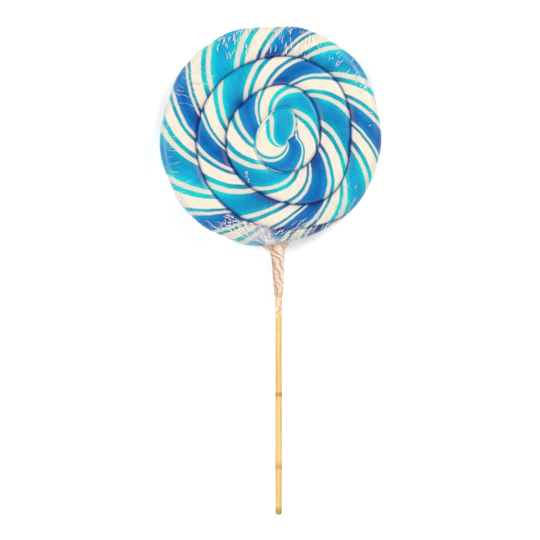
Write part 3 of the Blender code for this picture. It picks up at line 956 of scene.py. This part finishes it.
def build_folds(settings):
    """The film over the foot of the head, where it is drawn into folds that run to the neck, with painted
    highlights along the fold crests.
    """
    lift = settings.lift / MM
    folds = add_primitive(
        bpy.ops.mesh.primitive_grid_add, "film_folds", x_subdivisions=220, y_subdivisions=110, size=1.0,
        calc_uvs=False,
    )
    flat = points_of(folds) * MM + 0.5
    x = -27.0 + 58.0 * flat[:, 0]
    bearing = np.degrees(np.arctan2(-np.sqrt(np.maximum(DISC_RADIUS ** 2 - x * x, 1.0)), x))
    foot = -np.sqrt(np.maximum((rim_radius(bearing) + lift) ** 2 - x * x, 1.0))
    y = foot + 0.03 + (21.0 - 0.012 * (x - 4.0) ** 2) * flat[:, 1] ** 1.25
    from_neck = np.stack((x, y + HEAD_Y), axis=1) - NECK_POINT
    reach = np.linalg.norm(from_neck, axis=1)
    way = np.degrees(np.arctan2(from_neck[:, 1], from_neck[:, 0]))
    rng = np.random.default_rng(11)
    highlighted_crest = np.zeros(len(x))
    for middle, spread, many in FOLD_FANS:
        for _ in range(many):
            bearing = middle + spread * rng.uniform(-1.0, 1.0)
            long = rng.uniform(9.0, 24.0)
            wide = rng.uniform(0.14, 0.34)
            drift = rng.uniform(-1.6, 1.6)
            turn = rng.uniform(-0.07, 0.07)
            off = way - bearing - drift * (reach - 10.0) - turn * (reach - 10.0) ** 2
            across = off * np.maximum(reach, 6.0) / (wide * 57.3)
            line = np.exp(-across ** 2) * smooth_step((long - reach) / 5.0) * rng.uniform(0.25, 0.9)
            highlighted_crest = np.maximum(highlighted_crest, line)
    milk = smooth_step((11.5 - reach) / 4.5)
    slant = way - 122.0 - 0.9 * (reach - 12.0)
    patch = np.exp(-(slant / 17.0) ** 2) * smooth_step((23.0 - reach) / 9.0)
    edge = smooth_step((1.0 - flat[:, 1]) / 0.3)
    edge *= smooth_step(flat[:, 0] / 0.15) * smooth_step((1.0 - flat[:, 0]) / 0.15)
    # Milky where the film bunches near the neck and in a patch; the fold crests are raised a little and carry
    # painted highlights.
    haze = np.clip(0.01 + 0.34 * milk + 0.66 * patch + 0.6 * highlighted_crest, 0.0, 0.95) * edge
    z = head_height(x, y, lift) + 0.05 + 0.22 * highlighted_crest * edge
    move_points(folds, press_by_hand(np.stack((HEAD_X + x, HEAD_Y + y, MID_Z + z), axis=1)))
    store(folds, "haze", haze)
    smooth_by_angle(folds, 80.0)
    return finish_piece(folds, clear_film(settings), None)


def build_neck(settings):
    """The film drawn in under the head and twisted round the stick, from a finely cut tube."""
    top, bottom = NECK_SECTIONS[0][0], NECK_SECTIONS[-1][0]
    neck = add_primitive(
        bpy.ops.mesh.primitive_cylinder_add, "film_neck", vertices=128, radius=1.0, depth=1.0,
        end_fill_type="NOTHING", calc_uvs=False,
    )
    cut_long_edges(neck, 2, 0.5, 139)
    tube = points_of(neck) * MM
    angle = np.arctan2(tube[:, 1], tube[:, 0])
    y = bottom + (top - bottom) * (tube[:, 2] + 0.5)
    rows = np.array(NECK_SECTIONS[::-1])
    centre, half_width, half_height = (np.interp(y, rows[:, 0], rows[:, k]) for k in (1, 2, 3))
    turned = angle - np.radians(NECK_TWIST * y + 16.0 * np.sin(y * 0.9))
    steep = angle - np.radians(2.2 * NECK_TWIST * y + 25.0 * np.sin(y * 0.6 + angle))
    strands = np.abs(np.cos(2.5 * turned + 0.6 * np.sin(y * 0.55)))
    fine = np.abs(np.cos(6.5 * turned + 1.8 * np.sin(y * 0.8 + 2.0 * angle)))
    pinch = np.abs(np.cos(4.0 * steep + 1.2 * np.sin(y * 1.7)))
    fold = 0.40 * strands + 0.30 * fine + 0.30 * pinch
    swell = 1.0 + 0.22 * (fold - 0.6)
    x = centre + half_width * swell * np.cos(angle)
    z = half_height * swell * np.sin(angle)
    move_points(neck, np.stack((x, y, MID_Z + z), axis=1))
    # Painted light: the fold value is raised towards +X and lowered towards -X, so the film is painted lighter
    # on its right and darker on its left.
    store(neck, "fold", fold + 0.17 * np.cos(angle) - 0.10)
    store(neck, "bunched", 0.6 * np.exp(-((y - 12.4) / 0.8) ** 2) * smooth_step((x - 1.0) / 3.0))
    haze = 0.95 - 0.5 * smooth_step((y - 9.0) / 5.0)
    store(neck, "haze", haze * (0.35 + 0.65 * smooth_step((y - bottom) / 3.0)))
    turn_faces_outward(neck)
    smooth_by_angle(neck, 80.0)
    return finish_piece(neck, gathered_film(settings), None)


class LOLLIPOP_OT_film(bpy.types.Operator):
    """Build the clear film: its skin over the head, creases, folds at the foot and twisted neck"""

    bl_idname = "lollipop.film"
    bl_label = "Clear Film"

    def execute(self, context):
        settings = context.scene.lollipop_film
        build_skin(settings)
        build_creases(settings)
        build_bubbles(settings)
        build_folds(settings)
        build_neck(settings)
        return {"FINISHED"}


def wound_tape(settings):
    """Clear tape wound over the film's tail: yellowed by its glue, with a painted highlight on the crests of
    its creases and painted shade in their hollows.
    """
    material, tree, shader = new_material("wound_clear_tape")
    fold = add_node(tree, "ShaderNodeAttribute", {"attribute_name": "fold"})
    tone = add_node(tree, "ShaderNodeValToRGB", inputs={"Fac": fold.outputs["Fac"]})
    # Painted light: the creases' hollows take a painted shade and their crests a painted highlight.
    set_ramp(tone, [(0.05, linear("C08C78")), (0.4, tuple(settings.tape)), (0.85, linear("FFEECA"))])
    tree.links.new(tone.outputs["Color"], shader.inputs["Base Color"])
    shader.inputs["Roughness"].default_value = 0.22
    shader.inputs["IOR"].default_value = 1.48
    return material


class LOLLIPOP_OT_tape(bpy.types.Operator):
    """Build the band of tape that holds the film's tail on the stick"""

    bl_idname = "lollipop.tape"
    bl_label = "Tape Band"

    def execute(self, context):
        settings = context.scene.lollipop_film
        low, high = TAPE_LOW[1], TAPE_HIGH[1]
        tape = add_primitive(
            bpy.ops.mesh.primitive_cylinder_add, "tape_wound", vertices=72, radius=1.0, depth=1.0,
            end_fill_type="NOTHING", calc_uvs=False,
        )
        cut_long_edges(tape, 2, 0.5, 59)
        tube = points_of(tape) * MM
        angle = np.arctan2(tube[:, 1], tube[:, 0])
        y = low + (high - low) * (tube[:, 2] + 0.5)
        turned = angle - np.radians(TAPE_TWIST * y)
        broad_fold = np.abs(np.cos(1.5 * turned + np.sin(y * 1.3)))
        fine_fold = np.abs(np.cos(4.0 * turned + 1.5 * np.sin(y)))
        fold = 0.55 * broad_fold + 0.45 * fine_fold
        radius = STICK_RADIUS + 0.16 + 0.14 * fold
        radius = np.where(np.abs(tube[:, 2]) > 0.499, STICK_RADIUS - 0.02, radius)
        move_points(tape, np.stack((
            STICK_X + radius * np.cos(angle), y, MID_Z + radius * np.sin(angle)), axis=1))
        store(tape, "fold", fold)
        turn_faces_outward(tape)
        smooth_by_angle(tape, 60.0)
        finish_piece(tape, wound_tape(settings), "tape_band")
        return {"FINISHED"}


# ---------------------------------------------------------------- the stage


# White lamps: name, place and size in metres, power in watts. None stands where the face would mirror it.
LAMPS = (
    ("key", (0.75, 0.65, 0.85), 0.5, 11.5),
    ("fill", (-0.95, 0.15, 0.75), 0.7, 9.2),
    ("foot", (0.1, -0.95, 0.65), 0.6, 5.0),
)
PAPER_LIFT = 0.42        # brings the lit paper up to pure white


def area_lamp(name, place, target, size, watts):
    """Adds a round lamp that faces the target."""
    light = bpy.data.lights.new(name, "AREA")
    light.shape = "DISK"
    light.size = size
    light.energy = watts
    lamp = bpy.data.objects.new(name, light)
    bpy.context.scene.collection.objects.link(lamp)
    lamp.location = place
    lamp.rotation_euler = (Vector(target) - Vector(place)).to_track_quat("-Z", "Y").to_euler()
    return lamp


def paper_floor():
    """Matt white paper: plain diffuse, lifted to pure white where the camera or a reflection sees it."""
    material, tree, shader = new_material("matt_white_paper")
    shader.inputs["Base Color"].default_value = linear("E8E8E8")
    shader.inputs["Roughness"].default_value = 0.9
    shader.inputs["Specular IOR Level"].default_value = 0.1
    path = add_node(tree, "ShaderNodeLightPath")
    seen = add_node(tree, "ShaderNodeMath", {"operation": "MAXIMUM"}, {
        0: path.outputs["Is Camera Ray"], 1: path.outputs["Is Glossy Ray"]})
    seen = add_node(tree, "ShaderNodeMath", {"operation": "MAXIMUM"}, {
        0: seen.outputs[0], 1: path.outputs["Is Transmission Ray"]})
    lift = add_node(tree, "ShaderNodeMath", {"operation": "MULTIPLY"}, {0: seen.outputs[0], 1: PAPER_LIFT})
    shader.inputs["Emission Color"].default_value = (1.0, 1.0, 1.0, 1.0)
    tree.links.new(lift.outputs[0], shader.inputs["Emission Strength"])
    return material


class LOLLIPOP_OT_stage(bpy.types.Operator):
    """Lay the white floor and set the camera, lamps and view transform"""

    bl_idname = "lollipop.stage"
    bl_label = "Stage"

    def execute(self, context):
        settings = context.scene.lollipop_stage
        scene = context.scene
        floor = add_primitive(bpy.ops.mesh.primitive_plane_add, "paper_floor", size=settings.floor_size)
        floor.data.materials.append(paper_floor())

        camera = bpy.data.cameras.new("camera")
        camera.lens = settings.lens
        camera.sensor_width = 36.0
        camera.clip_start = 0.01
        holder = bpy.data.objects.new("camera", camera)
        scene.collection.objects.link(holder)
        distance = settings.view_width * settings.lens / camera.sensor_width
        holder.location = (0.0, 0.0, (MID_Z + HALF * 0.6) * MM + distance)
        scene.camera = holder

        target = (0.0, HEAD_Y * 0.5 * MM, 0.0)
        for name, place, size, watts in LAMPS:
            area_lamp(name, place, target, size, watts)

        world = bpy.data.worlds.new("studio")
        world.use_nodes = True
        background = world.node_tree.nodes["Background"]
        background.inputs["Color"].default_value = (1.0, 1.0, 1.0, 1.0)
        background.inputs["Strength"].default_value = 0.08
        scene.world = world
        scene.view_settings.view_transform = "Standard"
        return {"FINISHED"}


class LOLLIPOP_PT_panel(bpy.types.Panel):
    """Buttons for each piece"""

    bl_idname = "LOLLIPOP_PT_panel"
    bl_label = "Swirl Lollipop"
    bl_space_type = "VIEW_3D"
    bl_region_type = "UI"
    bl_category = "Lollipop"

    def draw(self, context):
        for group in SETTINGS:
            box = self.layout.box()
            settings = getattr(context.scene, group)
            for key in settings.__annotations__:
                box.prop(settings, key)
        for operator in OPERATORS:
            self.layout.operator(operator.bl_idname)


SETTINGS = {
    "lollipop_candy": CandySettings,
    "lollipop_stick": StickSettings,
    "lollipop_film": FilmSettings,
    "lollipop_stage": StageSettings,
}
OPERATORS = (LOLLIPOP_OT_candy, LOLLIPOP_OT_stick, LOLLIPOP_OT_film, LOLLIPOP_OT_tape, LOLLIPOP_OT_stage)


def register():
    for group, settings in SETTINGS.items():
        bpy.utils.register_class(settings)
        setattr(bpy.types.Scene, group, bpy.props.PointerProperty(type=settings))
    for cls in (*OPERATORS, LOLLIPOP_PT_panel):
        bpy.utils.register_class(cls)


def unregister():
    for cls in (LOLLIPOP_PT_panel, *reversed(OPERATORS)):
        bpy.utils.unregister_class(cls)
    for group, settings in SETTINGS.items():
        delattr(bpy.types.Scene, group)
        bpy.utils.unregister_class(settings)


def main():
    register()
    bpy.ops.lollipop.candy()
    bpy.ops.lollipop.stick()
    bpy.ops.lollipop.film()
    bpy.ops.lollipop.tape()
    bpy.ops.lollipop.stage()


if __name__ == "__main__":
    main()
